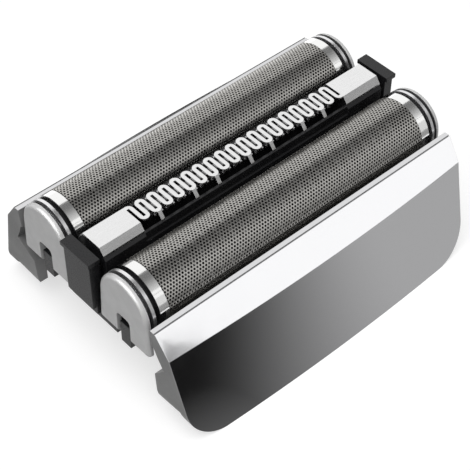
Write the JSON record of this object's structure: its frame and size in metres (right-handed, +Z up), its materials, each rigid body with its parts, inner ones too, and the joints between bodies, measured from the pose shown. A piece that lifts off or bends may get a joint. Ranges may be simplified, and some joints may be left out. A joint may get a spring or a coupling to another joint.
{
  "type": "shaver foil head",
  "caption": "Replacement shaver head: perforated foils float beside a comb trimmer between silver trim panels, with sliding cutters below.",
  "frame": {"origin": "standing plane, under the middle of the head", "axes": "+X along the foils, -Y towards the front panel, +Z up towards the foils"},
  "size_m": [0.0484, 0.0376, 0.0193],
  "materials": {
    "panel_silver": "glossy silver",
    "cap_grey": "fine matte",
    "frame_black": "fine matte",
    "cutter_plastic": "fine matte",
    "foil_steel": "satin sheet",
    "comb_steel": "bright",
    "blade_steel": "ground",
    "spring_steel": "drawn wire"
  },
  "bodies": {
    "housing": {"head_frame": "frame_black", "front_panel": "panel_silver", "rear_panel": "panel_silver", "front_foil_springs": "spring_steel", "rear_foil_springs": "spring_steel", "trimmer_springs": "spring_steel"},
    "front_foil_unit": {"front_foil": "foil_steel", "front_foil_frame": "frame_black", "front_cap_left": "cap_grey", "front_cap_right": "cap_grey"},
    "front_cutter": {"front_cutter_blades": "blade_steel", "front_cutter_carrier": "cutter_plastic", "front_cutter_spring": "spring_steel", "front_drive_bridge": "cutter_plastic"},
    "rear_foil_unit": {"rear_foil": "foil_steel", "rear_foil_frame": "frame_black", "rear_cap_left": "cap_grey", "rear_cap_right": "cap_grey"},
    "rear_cutter": {"rear_cutter_blades": "blade_steel", "rear_cutter_carrier": "cutter_plastic", "rear_cutter_spring": "spring_steel", "rear_drive_bridge": "cutter_plastic"},
    "trimmer_unit": {"trimmer_carrier": "frame_black", "trimmer_comb": "comb_steel"},
    "trimmer_cutter": {"trimmer_blade": "blade_steel", "trimmer_slider": "frame_black"}
  },
  "joints": [
    {"name": "front_foil_float", "type": "slide", "parent": "housing", "child": "front_foil_unit", "axis": [0, 0, -1], "range_m": [0, 0.0012], "stiffness_N_per_m": 400, "springref_m": -0.002, "deforming": ["front_foil_springs"]},
    {"name": "front_cutter_stroke", "type": "slide", "parent": "front_foil_unit", "child": "front_cutter", "axis": [1, 0, 0], "range_m": [-0.0012, 0.0012]},
    {"name": "rear_foil_float", "type": "slide", "parent": "housing", "child": "rear_foil_unit", "axis": [0, 0, -1], "range_m": [0, 0.0012], "stiffness_N_per_m": 400, "springref_m": -0.002, "deforming": ["rear_foil_springs"]},
    {"name": "rear_cutter_stroke", "type": "slide", "parent": "rear_foil_unit", "child": "rear_cutter", "axis": [1, 0, 0], "range_m": [-0.0012, 0.0012]},
    {"name": "trimmer_float", "type": "slide", "parent": "housing", "child": "trimmer_unit", "axis": [0, 0, -1], "range_m": [0, 0.0012], "stiffness_N_per_m": 400, "springref_m": -0.002, "deforming": ["trimmer_springs"]},
    {"name": "trimmer_stroke", "type": "slide", "parent": "trimmer_unit", "child": "trimmer_cutter", "axis": [1, 0, 0], "range_m": [-0.0008, 0.0008]}
  ]
}
